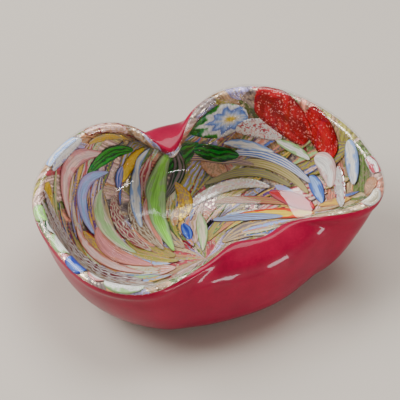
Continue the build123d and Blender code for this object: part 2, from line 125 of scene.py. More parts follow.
# The upper course. Each kind of chip has its material slot, its stripes across, how far they wander,
# its share of flecks, the flecks' colour, and its chips; lace and murrina use only slot and chips.
# A chip has the azimuth in degrees and the run of its one end, its middle and its other end, its
# width, its bluntness (1 is a pointed leaf, 0.2 a blunt bar) and its two tones.
KINDS = {
    "pink_cane_chips": ("pink_cane", 1, 0.5, 0.0, "white", [
        ((119, 0.87), (139, 0.92), (152, 0.72), 10, 0.9, "pink", "pale_pink"),
        ((143, 0.54), (153, 0.42), (170, 0.2), 8, 0.8, "salmon", "pink"),
        ((152, 0.66), (160, 0.5), (178, 0.24), 6, 0.8, "salmon", "pale_pink"),
        ((104, 0.5), (112, 0.4), (135, 0.2), 5, 0.9, "pale_pink", "salmon"),
        ((17, 0.79), (9, 0.79), (3, 0.72), 12, 0.5, "pale_pink", "white"),
        ((203, 1.0), (207, 1.01), (211, 1.0), 4, 0.4, "pink", "white"),
    ]),
    "blue_cane_chips": ("blue_cane", 1, 0.6, 0.0, "white", [
        ((120, 0.76), (137, 0.76), (148, 0.53), 8, 0.8, "lavender", "sky"),
        ((98, 0.72), (108, 0.6), (124, 0.36), 7, 0.7, "sky", "white"),
        ((91, 0.62), (101, 0.5), (114, 0.34), 5, 0.8, "sky", "pale_pink"),
        ((60, 0.75), (50, 0.74), (36, 0.73), 5, 0.8, "sky", "white"),
        ((4, 0.98), (358, 0.93), (351, 0.86), 11, 0.5, "sky", "white"),
        ((16, 0.69), (10, 0.66), (2, 0.62), 8, 0.6, "blue", "sky"),
        ((30, 0.55), (22, 0.54), (12, 0.53), 5, 0.7, "sky", "lavender"),
    ]),
    "pale_green_cane_chips": ("pale_green_cane", 1, 0.5, 0.0, "white", [
        ((86, 0.67), (101, 0.46), (140, 0.14), 9, 0.9, "pale_green", "lime"),
        ((127, 0.69), (137, 0.56), (152, 0.28), 8, 0.9, "cream", "pale_green"),
        ((36, 0.79), (27, 0.78), (19, 0.77), 5, 0.5, "pale_green", "white"),
        ((74, 0.33), (72, 0.2), (80, 0.05), 5, 0.9, "pale_green", "cream"),
        ((211, 1.01), (218, 1.015), (226, 1.01), 6, 0.3, "pale_green", "white"),
        ((181, 1.0), (186, 1.01), (191, 1.0), 7, 0.3, "pale_green", "white"),
    ]),
    "green_cane_chips": ("green_cane", 3, 0.8, 0.0, "lime", [
        ((104, 0.8), (116, 0.85), (131, 0.81), 8, 0.6, "dark_green", "green"),
        ((90, 0.72), (84, 0.58), (98, 0.44), 6, 0.8, "dark_green", "smoke"),
        ((167, 1.0), (170, 1.01), (174, 1.0), 9, 0.3, "lime", "pale_green"),
        ((174, 1.0), (178, 0.99), (183, 0.98), 7, 0.5, "dark_green", "white"),
        ((76, 0.69), (66, 0.69), (52, 0.68), 9, 0.5, "green", "dark_green"),
        ((93, 0.55), (84, 0.63), (73, 0.74), 10, 0.7, "green", "dark_green"),
    ]),
    "amber_glitter_chips": ("amber_glitter", 1, 0.8, 0.3, "yellow", [
        ((100, 0.75), (107, 0.73), (115, 0.66), 8, 0.5, "amber", "yellow"),
        ((126, 0.96), (115, 0.96), (106, 0.93), 4, 0.4, "sand", "gold"),
        ((153, 0.97), (157, 0.94), (162, 0.88), 8, 0.5, "yellow", "amber"),
        ((88, 0.5), (84, 0.4), (94, 0.3), 7, 0.7, "amber", "tan"),
        ((151, 0.6), (155, 0.5), (162, 0.4), 6, 0.7, "amber", "tan"),
    ]),
    "lace_cane_ribbons": ("lace_cane", 6, 0.5, 0.0, "white", [
        ((158, 0.99), (164, 0.72), (186, 0.26), 7, 0.5, "wine", "white"),
        ((164, 1.0), (169, 0.74), (194, 0.24), 7, 0.5, "copper", "white"),
        ((171, 0.98), (176, 0.7), (202, 0.22), 7, 0.5, "tan", "white"),
        ((122, 0.62), (130, 0.48), (148, 0.22), 6, 0.7, "rose", "cream"),
        ((112, 0.56), (121, 0.42), (142, 0.18), 6, 0.7, "tan", "cream"),
    ]),
    "striped_cane_ribbons": ("striped_cane", 4, 0.4, 0.0, "white", [
        ((84, 0.6), (68, 0.66), (44, 0.64), 5, 0.5, "purple", "sand"),
        ((56, 0.69), (36, 0.7), (14, 0.66), 5, 0.4, "blue", "white"),
        ((54, 0.63), (34, 0.65), (12, 0.6), 5, 0.4, "olive", "sand"),
        ((70, 0.5), (46, 0.59), (22, 0.58), 5, 0.5, "smoke", "olive"),
        ((62, 0.38), (40, 0.42), (14, 0.5), 5, 0.6, "olive", "rose"),
        ((60, 0.26), (36, 0.3), (14, 0.4), 5, 0.6, "smoke", "sky"),
    ]),
    "cream_glitter_canes": ("cream_glitter", 1, 0.8, 0.3, "white", [
        ((88, 0.36), (56, 0.49), (32, 0.53), 7, 0.6, "cream", "pale_pink"),
        ((50, 0.3), (32, 0.34), (16, 0.42), 5, 0.6, "cream", "sky"),
    ]),
    "red_cane_ribbons": ("red_cane", 1, 0.6, 0.0, "white", [
        ((31, 0.5), (16, 0.52), (4, 0.56), 9, 0.6, "rose", "red"),
        ((42, 0.3), (18, 0.4), (2, 0.54), 6, 0.5, "scarlet", "yellow"),
    ]),
    "silver_fleck_chips": ("silver_flecks", 1, 0.8, 0.6, "silver", [
        ((55, 0.82), (45, 0.83), (34, 0.81), 9, 0.5, "pale_pink", "rose"),
        ((4, 0.84), (358, 0.77), (350, 0.72), 9, 0.6, "rose", "white"),
        ((148, 0.99), (138, 1.0), (129, 1.0), 6, 0.5, "lavender", "white"),
    ]),
    "red_foil_patches": ("red_foil", 1, 0.8, 0.09, "blush", [
        ((48, 0.97), (36, 0.93), (22, 0.86), 18, 0.3, "red", "ruby"),
        ((26, 0.97), (17, 0.92), (8, 0.86), 16, 0.3, "ruby", "red"),
    ]),
    "copper_glitter_patches": ("copper_glitter", 1, 0.8, 0.45, "peach", [
        ((72, 0.62), (64, 0.6), (58, 0.55), 10, 0.5, "copper", "tan"),
        ((345, 0.93), (341, 0.96), (337, 0.97), 9, 0.4, "copper", "peach"),
        ((126, 1.015), (117, 1.02), (107, 1.01), 6, 0.4, "wine", "pale_pink"),
    ]),
    "white_twist_canes": ("white_twist", 2, 0.5, 0.0, "white", [
        ((148, 1.02), (140, 1.03), (131, 1.02), 4, 0.3, "white", "sky"),
        ((352, 1.015), (348, 1.02), (344, 1.015), 6, 0.3, "white", "rose"),
        ((336, 0.99), (332, 1.01), (329, 1.01), 8, 0.4, "white", "cream"),
        ((96, 1.01), (91, 1.02), (84, 1.01), 4, 0.4, "white", "pale_pink"),
    ]),
    "cobalt_cane_chips": ("cobalt_cane", 2, 0.5, 0.0, "white", [
        ((193, 1.01), (197, 1.015), (202, 1.01), 8, 0.3, "cobalt", "blue"),
        ((92, 0.27), (93, 0.21), (98, 0.15), 5, 0.6, "cobalt", "blue"),
        ((112, 0.74), (115, 0.7), (118, 0.64), 5, 0.6, "blue", "lavender"),
    ]),
    "emerald_murrine_slices": ("murrine", 5, 0.9, 0.0, "white", [
        ((80, 0.84), (66, 0.87), (50, 0.88), 18, 0.5, "green", "white"),
    ]),
}

# The lower course: rows of leaves that swirl from the rim to the middle of the floor.
SWIRL = 70  # degrees that the swirl turns from the rim to the middle
LEAVES_ROUND = 12
LEAF_WIDTH = 14
LEAF_TAPER = 0.4  # width of a leaf at the middle of the floor, as a share of that at the rim
LEAF_BLUNTNESS = 0.8
LEAF_ROWS = ((0.97, 0.64), (0.7, 0.36), (0.42, 0.12))  # runs at a leaf's two ends
# Each kind has what a kind of chip has, but three first tones to take in turn, and one other tone.
LEAF_KINDS = {
    "smoke_cane_leaves": (
        "smoke_cane", 5, 0.7, 0.1, "gold", ("smoke", "lavender", "tan"), "olive"),
    "rose_cane_leaves": (
        "rose_cane", 4, 0.7, 0.12, "peach", ("salmon", "rose", "tan"), "pale_pink"),
    "moss_cane_leaves": (
        "moss_cane", 4, 0.7, 0.06, "gold", ("moss", "olive", "smoke"), "sand"),
}

# Slender canes, drawn at random between the two courses: ranges for the run of the far end, for how
# much less the near end's is, for the lean as a share of the swirl, and for the width.
SLENDER_SEED = 11
SLENDER_FAR = (0.3, 0.98)
SLENDER_RUN = (0.12, 0.26)
SLENDER_LEAN = (0.8, 1.4)
SLENDER_WIDTH = (1.8, 4.5)
SLENDER_NEAREST = 0.1  # no cane goes closer to the middle of the floor
SLENDER_TONES = [
    "white", "lavender", "sky", "pale_green", "olive", "wine", "salmon", "pale_pink", "gold",
    "smoke", "blue", "moss", "cream", "purple", "copper", "sand",
]

# Materials: finish of the canes, and how many fleck cells there are to a metre.
CANE_ROUGHNESS = 0.3
CANE_SPECULAR = 0.1
CANE_FLECK_SCALE = 1500
FOIL_FLECK_SCALE = 1300
FOIL_FLECK_SHARE = 0.2
FOIL_TONES = (
    "tan", "salmon", "smoke", "sand", "olive", "lavender", "rose", "pale_pink", "moss", "copper")

# The stage: each light has a name, a place, a width and height, and a power in watts.
LIGHTS = (
    ("key_box", (-0.95, 0.55, 1.0), (1.0, 0.7), 31),
    ("front_box", (0.66, -1.0, 0.27), (0.46, 0.2), 6),
    ("top_box", (0.35, 0.25, 1.4), (0.9, 0.9), 16),
)
LIGHT_TARGET = (0, 0, 0.03)
ROOM_COLOUR = (1.0, 0.97, 0.94, 1)
ROOM_STRENGTH = 0.32
CAMERA_AZIMUTH = math.radians(-22)
CAMERA_ELEVATION = math.radians(42)
CAMERA_TARGET = (0, -0.0012, 0.025)
CAMERA_LENS, CAMERA_SENSOR = 170.1, 36  # millimetres
CAMERA_SHIFT = (-0.0125, 0.0625)


def smooth_rim(count):
    """The rim's outer edge as a closed cubic spline, in points evenly spaced along it."""
    azimuth, radius, height = np.array(RIM_COURSE + RIM_COURSE[:1], float).T
    azimuth = np.radians(azimuth)
    places = np.stack([radius * np.cos(azimuth), radius * np.sin(azimuth), height], 1)
    gap = np.linalg.norm(np.diff(places, axis=0), axis=1)
    slope = np.diff(places, axis=0) / gap[:, None]
    # the slope where the course starts and ends, from a cubic through its first four places
    knots = np.concatenate([[0], np.cumsum(gap[:3])])
    powers = knots[:, None] ** np.arange(4)
    start_slope = np.linalg.solve(powers, places[:4])[1]
    system = np.diag(2 * np.concatenate([gap[:1], gap[:-1] + gap[1:], gap[-1:]]))
    system += np.diag(gap, 1) + np.diag(gap, -1)
    turns = [slope[:1] - start_slope, np.diff(slope, axis=0), start_slope - slope[-1:]]
    bend = np.linalg.solve(system, 6 * np.vstack(turns))
    points = [places[0]]
    for i in range(len(gap)):
        for b in np.linspace(0, 1, RIM_STEPS + 1)[1:]:
            a = 1 - b
            curve = (a**3 - a) * bend[i] + (b**3 - b) * bend[i + 1]
            points.append(a * places[i] + b * places[i + 1] + curve * gap[i] ** 2 / 6)
    length = np.concatenate([[0], np.cumsum(np.linalg.norm(np.diff(points, axis=0), axis=1))])
    even = np.linspace(0, length[-1], count, endpoint=False)
    return np.stack([np.interp(even, length, column) for column in np.transpose(points)], 1)


FINE_RIM = smooth_rim(RIM_POINTS)
FINE_RADIUS = np.hypot(FINE_RIM[:, 0], FINE_RIM[:, 1])
FINE_AZIMUTH = np.unwrap(np.arctan2(FINE_RIM[:, 1], FINE_RIM[:, 0]))


def oval_radius(oval, azimuth):
    """An oval's distance from the axis at an azimuth."""
    return 1 / np.hypot(np.cos(azimuth) / oval[0], np.sin(azimuth) / oval[1])


def outer_skin(azimuth, level):
    """A point on the casing's outer skin, which curves up from foot to rim along the guide ovals."""
    azimuth, level = np.broadcast_arrays(np.asarray(azimuth, float), np.asarray(level, float))
    rim_radius = np.interp(azimuth, FINE_AZIMUTH, FINE_RADIUS, period=2 * np.pi)
    rim_height = np.interp(azimuth, FINE_AZIMUTH, FINE_RIM[:, 2], period=2 * np.pi)
    back = (1 + np.sin(azimuth)) / 2
    shoulder = back * oval_radius(BACK_SHOULDER, azimuth)
    shoulder = shoulder + (1 - back) * oval_radius(FRONT_SHOULDER, azimuth)
    tuck = np.clip(1 - rim_radius / shoulder, 0, None)
    lift = back * FOLD_LIFT[0] + (1 - back) * FOLD_LIFT[1]
    reach = back * FOLD_REACH[0] + (1 - back) * FOLD_REACH[1]
    shoulder_height = BACK_SHOULDER[2] + lift * tuck
    shoulder = shoulder * (1 - reach * tuck)
    t = np.clip(level, 0, None)
    weights = ((1 - t) ** 3, 3 * t * (1 - t) ** 2, 3 * t * t * (1 - t), t**3)
    radii = (oval_radius(FOOT, azimuth), oval_radius(BELLY, azimuth), shoulder, rim_radius)
    heights = (FOOT[2], BELLY[2], shoulder_height, rim_height)
    radius = sum(w * r for w, r in zip(weights, radii))
    height = sum(w * h for w, h in zip(weights, heights))
    radius = np.where(level < 0, oval_radius(FOOT, azimuth) * (1 + level), radius)
    return np.stack([radius * np.cos(azimuth), radius * np.sin(azimuth), height], -1)


def unit(vectors):
    return vectors / np.linalg.norm(vectors, axis=-1, keepdims=True)


def directions(azimuth, level):
    """Unit vectors into the wall and up along it."""
    turn, climb = np.radians(1.5), 0.01
    low = np.clip(level, 0, 1 - climb)
    round_it = outer_skin(azimuth + turn, low) - outer_skin(azimuth - turn, low)
    up_it = outer_skin(azimuth, low + climb) - outer_skin(azimuth, low)
    inward = unit(np.cross(up_it, round_it))
    inward = np.where(np.asarray(level)[..., None] < 0, (0.0, 0.0, 1.0), inward)
    return inward, unit(up_it)


def between(pair, level):
    """A thickness between its values at the foot and at the rim."""
    return pair[0] + (pair[1] - pair[0]) * np.clip(level, 0, 1)


def melt_place(azimuth, run, lift):
    """A point between casing and lining, in millimetres; lift is towards the inside of the bowl."""
    azimuth, run = np.broadcast_arrays(np.asarray(azimuth, float), np.asarray(run, float))
    level = np.where(run < FLOOR_RUN, run / FLOOR_RUN - 1, (run - FLOOR_RUN) / (1 - FLOOR_RUN))
    level = np.clip(level, -1, 1)
    inward, _ = directions(azimuth, level)
    depth = between(WALL, level) - between(LINING, level) - MELT / 2 + lift
    inside = outer_skin(azimuth, level) + inward * depth[..., None]
    rim = np.ones_like(azimuth)
    inward, upward = directions(azimuth, rim)
    turn = np.pi * (1 - np.clip((run - 1) / NOSE_RUN, 0, 1))
    inner_depth = WALL[1] - LINING[1] - MELT / 2 + lift
    middle, half = (LIP_INSET + inner_depth) / 2, (inner_depth - LIP_INSET) / 2
    nose_depth = (middle - half * np.cos(turn))[..., None]
    rise = ((NOSE + lift) * np.sin(turn))[..., None]
    nose = outer_skin(azimuth, rim) + inward * nose_depth + upward * rise
    return np.where(run[..., None] > 1, nose, inside)


def lining_place(azimuth, step):
    """A point on the clear lining's skin, in millimetres. Step runs from 0, under the middle of the
    floor, to 1, under the rim, to 2, on top of the rim's outer lip, to 3, at its inner edge, and on
    to 4, the middle of the floor."""
    level_up = np.interp(step, (0, 0.3, 1), (-1, 0, 1))
    level_down = np.interp(step, (3, 3.7, 4), (1, 0, -1))
    level = np.where(step < 1.5, level_up, level_down)
    inward, _ = directions(azimuth, level)
    depth = between(WALL, level) - between(LINING, level) * (step < 1.5)
    wall = outer_skin(azimuth, level) + inward * depth[..., None]
    rim = np.ones_like(azimuth)
    inward, upward = directions(azimuth, rim)
    under = step < 2
    stand = np.where(under, LINING_UNDER_NOSE, RIM_NOSE)
    lip = np.arcsin(LIP_HEIGHT / stand)
    share = np.where(under, 2 - step, step - 2)
    turn = lip + (np.pi - lip) * np.clip(share, 0, 1)
    first = np.where(under, LIP_INSET, 0)
    last = np.where(under, WALL[1] - LINING[1], WALL[1])
    across = (first + last) / 2 - (last - first) / 2 * np.cos(turn)
    rise = stand * np.sin(turn)
    nose = outer_skin(azimuth, rim) + inward * across[..., None] + upward * rise[..., None]
    return np.where(((step > 1) & (step < 3))[..., None], nose, wall)


def plan_centre():
    """Middle of the bowl's box in plan."""
    walls = outer_skin(FINE_AZIMUTH[:, None], np.linspace(0, 1, 41)[None, :]).reshape(-1, 3)
    inward, upward = directions(FINE_AZIMUTH, np.ones_like(FINE_AZIMUTH))
    half = WALL[1] / 2
    nose = [
        outer_skin(FINE_AZIMUTH, 1) + half * ((1 - np.cos(turn)) * inward + np.sin(turn) * upward)
        for turn in (0.3, 0.6, 0.9)
    ]
    points = np.vstack([walls, *nose])
    return (points.min(0) + points.max(0)) / 2 * (1, 1, 0)


CENTRE = plan_centre()


def in_frame(points):
    """Millimetres about the bowl's axis to metres in the frame."""
    return (points - CENTRE) / 1000


# Sizes and colours that a user would change


class GlassBowlSizes(bpy.types.PropertyGroup):
    chip_thickness: FloatProperty(
        name="Chip thickness", description="Thickness of a chip of cane", default=0.0004,
        unit="LENGTH", min=0.0001, max=0.0005)
    foil_columns: IntProperty(
        name="Foil columns", description="Faces round the foil", default=288, min=48, max=480)
    slender_canes: IntProperty(
        name="Slender canes", description="How many slender canes fill the gaps",
        default=240, min=0, max=400)
    lining_columns: IntProperty(
        name="Lining columns", description="Faces round the lining", default=300, min=48, max=480)
    lining_rows: IntProperty(
        name="Lining rows", description="Faces along the lining's section",
        default=240, min=48, max=320)
    foil_rows: IntProperty(
        name="Foil rows", description="Faces from the floor and over the rim",
        default=120, min=24, max=160)
    floor_width: FloatProperty(
        name="Floor width", description="Side of the square floor", default=6.0, unit="LENGTH")
    camera_distance: FloatProperty(
        name="Camera distance", description="From the camera to the bowl",
        default=0.9, unit="LENGTH")


class GlassBowlColours(bpy.types.PropertyGroup):
    casing_deep: FloatVectorProperty(
        name="Deep red", description="Casing where it is thick", subtype="COLOR", size=3,
        default=(0.22, 0.0, 0.02))
    casing_bright: FloatVectorProperty(
        name="Bright red", description="Casing where it is thin", subtype="COLOR", size=3,
        default=(0.4, 0.0, 0.036))
    floor: FloatVectorProperty(
        name="Floor", description="Colour of the floor", subtype="COLOR", size=3,
        default=(0.55, 0.495, 0.425))


# Materials


class Bench:
    """A material's node tree, with short ways to add to it."""

    def __init__(self, name):
        self.material = bpy.data.materials.new(name)
        self.material.use_nodes = True
        self.tree = self.material.node_tree
        self.tree.nodes.clear()
        self.output = self.tree.nodes.new("ShaderNodeOutputMaterial")

    def add(self, kind, settings=None, **inputs):
        node = self.tree.nodes.new(kind)
        for name, value in (settings or {}).items():
            setattr(node, name, value)
        for name, value in inputs.items():
            self.put(node.inputs[name.replace("_", " ")], value)
        return node

    def put(self, socket, value):
        if isinstance(value, bpy.types.NodeSocket):
            self.tree.links.new(value, socket)
        else:
            socket.default_value = value

    def maths(self, operation, *values):
        node = self.add("ShaderNodeMath", {"operation": operation})
        for socket, value in zip(node.inputs, values):
            self.put(socket, value)
        return node.outputs[0]

    def blend(self, factor, first, second, kind="MIX"):
        node = self.add("ShaderNodeMix", {"data_type": "RGBA", "blend_type": kind})
        for index, value in ((0, factor), (6, first), (7, second)):
            self.put(node.inputs[index], value)
        return node.outputs[2]

    def ramp(self, factor, stops, interpolation="LINEAR"):
        node = self.add("ShaderNodeValToRGB", Fac=factor)
        node.color_ramp.interpolation = interpolation
        while len(node.color_ramp.elements) < len(stops):
            node.color_ramp.elements.new(0.5)
        for element, (place, colour) in zip(node.color_ramp.elements, stops):
            element.position = place
            element.color = (*colour, 1)
        return node.outputs[0]

    def object_coordinates(self):
        return self.add("ShaderNodeTexCoord").outputs["Object"]

    def chart(self):
        return self.add("ShaderNodeUVMap", {"uv_map": "chart"}).outputs[0]

    def attribute(self, name):
        return self.add("ShaderNodeAttribute", {"attribute_name": name}).outputs["Color"]

    def noise(self, vector, scale, detail=2.0, roughness=0.5):
        node = self.add("ShaderNodeTexNoise", Scale=scale, Detail=detail, Roughness=roughness)
        self.put(node.inputs["Vector"], vector)
        return node.outputs[0]

    def cells(self, vector, scale, feature="F1"):
        node = self.add("ShaderNodeTexVoronoi", {"feature": feature}, Scale=scale)
        self.put(node.inputs["Vector"], vector)
        return node

    def stretched(self, vector, across, along):
        node = self.add("ShaderNodeVectorMath", {"operation": "MULTIPLY"})
        self.put(node.inputs[0], vector)
        self.put(node.inputs[1], (across, along, 1))
        return node.outputs[0]

    def bump(self, height, strength, distance):
        node = self.add("ShaderNodeBump", Strength=strength, Distance=distance, Height=height)
        return node.outputs[0]

    def cane_gloss(self, tone):
        return self.add(
            "ShaderNodeBsdfPrincipled", Roughness=CANE_ROUGHNESS, Specular_IOR_Level=CANE_SPECULAR,
            Base_Color=tone)

    def finish(self, shader):
        self.put(self.output.inputs["Surface"], shader)
        return self.material


def flecks(bench, share, scale):
    """A mask of scattered glitter flecks."""
    cells = bench.cells(bench.object_coordinates(), scale)
    chance = bench.add("ShaderNodeSeparateColor", Color=cells.outputs["Color"]).outputs[0]
    return bench.maths("GREATER_THAN", chance, 1 - share)


def cane_glass(name, stripes, wander, fleck_share, fleck_tone):
    """Opaque cane: two tones in stripes along it, drawn out into streaks, with flecks."""
    bench = Bench(name)
    chart = bench.chart()
    across = bench.add("ShaderNodeSeparateXYZ", Vector=chart).outputs[0]
    drift = bench.maths("SUBTRACT", bench.noise(bench.stretched(chart, 1.5, 0.9), 1.6), 0.5)
    phase = bench.maths("MULTIPLY_ADD", drift, wander * 2, bench.maths("MULTIPLY", across, stripes))
    fold = bench.maths("MULTIPLY", bench.maths("PINGPONG", phase, 0.5), 2)
    edge = bench.ramp(fold, [(0.3, (0, 0, 0)), (0.62, (1, 1, 1))], "EASE")
    tone = bench.blend(edge, bench.attribute("tone"), bench.attribute("other_tone"))
    streak = bench.noise(bench.stretched(chart, 16, 0.7), 1.0, 3.0, 0.6)
    shade = bench.ramp(
        streak, [(0.3, (0.55, 0.52, 0.5)), (0.5, (1.0, 1.0, 1.0)), (0.72, (1.6, 1.6, 1.5))])
    tone = bench.blend(0.85, tone, shade, "MULTIPLY")
    # darker towards the chip's two edges: partly the cane's own darker border, partly painted shade
    # standing in for the depth of the cane's rounded edges
    near_edge = bench.maths("ABSOLUTE", bench.maths("SUBTRACT", across, 0.5))
    border_and_edge_shade = bench.ramp(near_edge, [(0.36, (1, 1, 1)), (0.5, (0.5, 0.45, 0.45))])
    tone = bench.blend(0.8, tone, border_and_edge_shade, "MULTIPLY")
    if not fleck_share:
        return bench.finish(bench.cane_gloss(tone).outputs[0])
    mask = flecks(bench, fleck_share, CANE_FLECK_SCALE)
    gloss = bench.cane_gloss(bench.blend(mask, tone, (*TONES[fleck_tone], 1)))
    bench.put(gloss.inputs["Metallic"], bench.maths("MULTIPLY", mask, 0.6))
    return bench.finish(gloss.outputs[0])


def lace_glass(name):
    """Clear cane with fine white threads twisted both ways over a tinted ground."""
    bench = Bench(name)
    chart = bench.chart()
    split = bench.add("ShaderNodeSeparateXYZ", Vector=chart)
    across, along = split.outputs[0], split.outputs[1]
    drift = bench.maths("MULTIPLY", bench.noise(chart, 2.2, 2.0), 2.4)
    cloud = bench.noise(bench.stretched(chart, 2, 0.6), 1.5)
    tone = bench.blend(cloud, bench.attribute("tone"), (0.1, 0.05, 0.05, 1))
    place = bench.maths("MULTIPLY_ADD", across, 3.6, drift)
    for lean in (1.3, -1.3):
        slant = bench.maths("MULTIPLY_ADD", along, lean, place)
        thread = bench.maths("PINGPONG", slant, 0.5)
        line = bench.ramp(thread, [(0.09, (1, 1, 1)), (0.17, (0, 0, 0))], "EASE")
        tone = bench.blend(bench.maths("MULTIPLY", line, 0.85), tone, bench.attribute("other_tone"))
    return bench.finish(bench.cane_gloss(tone).outputs[0])


def murrina_glass(name, width, eye):
    """A flower cane cut across: zigzag petals of white, blue and green round a yellow eye.

    Width is the slice's width and eye is where along it the eye lies, both in centimetres."""
    bench = Bench(name)
    chart = bench.chart()
    split = bench.add("ShaderNodeSeparateXYZ", Vector=chart)
    across = bench.maths("MULTIPLY_ADD", split.outputs[0], width, -width / 2)
    along = bench.maths("MULTIPLY_ADD", split.outputs[1], 0.5, -eye / 2)
    angle = bench.maths("ARCTAN2", across, along)
    distance = bench.maths("SQRT", bench.maths(
        "MULTIPLY_ADD", across, across, bench.maths("MULTIPLY", along, along)))
    petal = bench.maths("PINGPONG", bench.maths("MULTIPLY", angle, 1.6), 0.5)
    ragged = bench.maths("MULTIPLY", bench.noise(chart, 1.6, 3.0), 0.9)
    ragged = bench.maths("ADD", ragged, 0.15)
    reach = bench.maths("MULTIPLY", distance, bench.maths("MULTIPLY_ADD", petal, 0.6, ragged))
    rings = (
        (0.04, "yellow"), (0.09, "white"), (0.16, "sky"), (0.22, "blue"), (0.27, "white"),
        (0.34, "white"), (0.4, "green"), (0.5, "dark_green"), (0.6, "green"), (0.72, "dark_green"),
        (0.85, "green"))
    stops = [(place, TONES[ring]) for place, ring in rings]
    tone = bench.ramp(bench.maths("MULTIPLY", reach, 0.5), stops)
    streak = bench.noise(bench.stretched(chart, 4, 4), 2.0, 3.0)
    shade = bench.ramp(streak, [(0.3, (0.55, 0.55, 0.55)), (0.65, (1.25, 1.25, 1.25))])
    tone = bench.blend(0.8, tone, shade, "MULTIPLY")
    return bench.finish(bench.cane_gloss(tone).outputs[0])


def swirled_foil():
    """Crackled silver under thin streaks of every colour, drawn round with the swirl."""
    bench = Bench("swirled_silver_foil")
    chart = bench.chart()
    drift = bench.add("ShaderNodeTexNoise", Scale=5.0, Vector=chart).outputs["Color"]
    warp = bench.blend(0.06, chart, drift, "ADD")
    leaf = bench.cells(bench.stretched(warp, 34, 5.5), 1.0)
    pick = bench.add("ShaderNodeSeparateColor", Color=leaf.outputs["Color"]).outputs[0]
    stops = [(i / len(FOIL_TONES), TONES[name]) for i, name in enumerate(FOIL_TONES)]
    tone = bench.ramp(pick, stops, "CONSTANT")
    lace = bench.noise(bench.stretched(warp, 260, 6), 1.0, 2.0)
    shade = bench.ramp(
        lace, [(0.36, (0.35, 0.3, 0.26)), (0.52, (1.0, 0.95, 0.9)), (0.66, (1.8, 1.7, 1.6))])
    tone = bench.blend(0.9, tone, shade, "MULTIPLY")
    mask = flecks(bench, FOIL_FLECK_SHARE, FOIL_FLECK_SCALE)
    tone = bench.blend(mask, tone, (0.85, 0.66, 0.48, 1))
    metal = bench.add("ShaderNodeBsdfPrincipled", Roughness=0.25, Base_Color=tone)
    bench.put(metal.inputs["Metallic"], bench.maths("MULTIPLY", mask, 0.7))
    return bench.finish(metal.outputs[0])


def red_casing_glass():
    """Dense red glass, mottled where the colour was rolled on thin, with a wet gloss."""
    colours = bpy.context.scene.glass_bowl_colours
    bench = Bench("red_cased_glass")
    place = bench.object_coordinates()
    cloud = bench.noise(place, 55, 4.0, 0.6)
    deep, bright = tuple(colours.casing_deep), tuple(colours.casing_bright)
    tone = bench.ramp(cloud, [(0.25, deep), (0.75, bright)])
    speck = bench.noise(place, 900, 2.0)
    shade = bench.ramp(speck, [(0.4, (0.6, 0.6, 0.6)), (0.6, (1.2, 1.1, 1.1))])
    tone = bench.blend(0.15, tone, shade, "MULTIPLY")
    facing = bench.add("ShaderNodeLayerWeight", Blend=0.35).outputs["Facing"]
    tone = bench.blend(bench.maths("MULTIPLY", facing, 0.55), tone, (0.2, 0.01, 0.05, 1))
    gloss = bench.add(
        "ShaderNodeBsdfPrincipled", Roughness=0.35, Coat_Weight=0.35, Coat_Roughness=0.03,
        Base_Color=tone, Specular_IOR_Level=0.1)
    ripple = bench.noise(place, 26, 1.0)
    bench.put(gloss.inputs["Coat Normal"], bench.bump(ripple, 0.06, 0.004))
    return bench.finish(gloss.outputs[0])


def clear_lining_glass():
    """Clear glass that shows what is under it, with a sharp gloss."""
    bench = Bench("clear_lining_glass")
    place = bench.object_coordinates()
    ripple = bench.bump(bench.noise(place, 30, 0.0), 0.08, 0.004)
    gloss = bench.add("ShaderNodeBsdfGlossy", Roughness=0.03, Normal=ripple)
    see_through = bench.add("ShaderNodeBsdfTransparent", Color=(0.99, 0.99, 0.99, 1))
    facing = bench.add("ShaderNodeLayerWeight", Blend=0.5, Normal=ripple).outputs["Facing"]
    rising = bench.maths("POWER", facing, 4.5)
    mix = bench.add("ShaderNodeMixShader", Fac=bench.maths("MULTIPLY_ADD", rising, 0.7, 0.025))
    bench.put(mix.inputs[1], see_through.outputs[0])
    bench.put(mix.inputs[2], gloss.outputs[0])
    return bench.finish(mix.outputs[0])


def floor_paper():
    """Plain matt paper with faint clouds of shade."""
    bench = Bench("floor_paper")
    colour = tuple(bpy.context.scene.glass_bowl_colours.floor)
    grain = bench.noise(bench.object_coordinates(), 3.0, 2.0)
    tone = bench.ramp(grain, [(0.3, tuple(c * 0.96 for c in colour)), (0.7, colour)])
    paper = bench.add("ShaderNodeBsdfPrincipled", Roughness=0.7, Base_Color=tone)
    return bench.finish(paper.outputs[0])


# Pieces


def new_piece(name, mesh, material, slot, *nodes):
    """Puts a finished mesh in the scene, in place of its plain solids where it has any."""
    piece = bpy.data.objects.new(name, mesh)
    bpy.context.scene.collection.objects.link(piece)
    mesh.materials.append(material)
    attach(piece, "root")
    if nodes:
        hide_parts(*nodes)
    return piece


def unit_grid(columns, rows):
    """A grid over the unit square, with its corners' places."""
    target = bmesh.new()
    made = bmesh.ops.create_grid(target, x_segments=columns, y_segments=rows, size=0.5)["verts"]
    return target, made, np.array([v.co for v in made]) + 0.5


def smooth_mesh(target, name):
    """A smooth mesh from what the operators made, which is then freed."""
    mesh = bpy.data.meshes.new(name)
    target.to_mesh(mesh)
    target.free()
    mesh.shade_smooth()
    return mesh


def on_chart(azimuth_degrees, run):
    """A place on the inside as a flat point, in which the run is the distance from the middle."""
    azimuth = np.radians(azimuth_degrees)
    return np.array([run * np.cos(azimuth), run * np.sin(azimuth)])


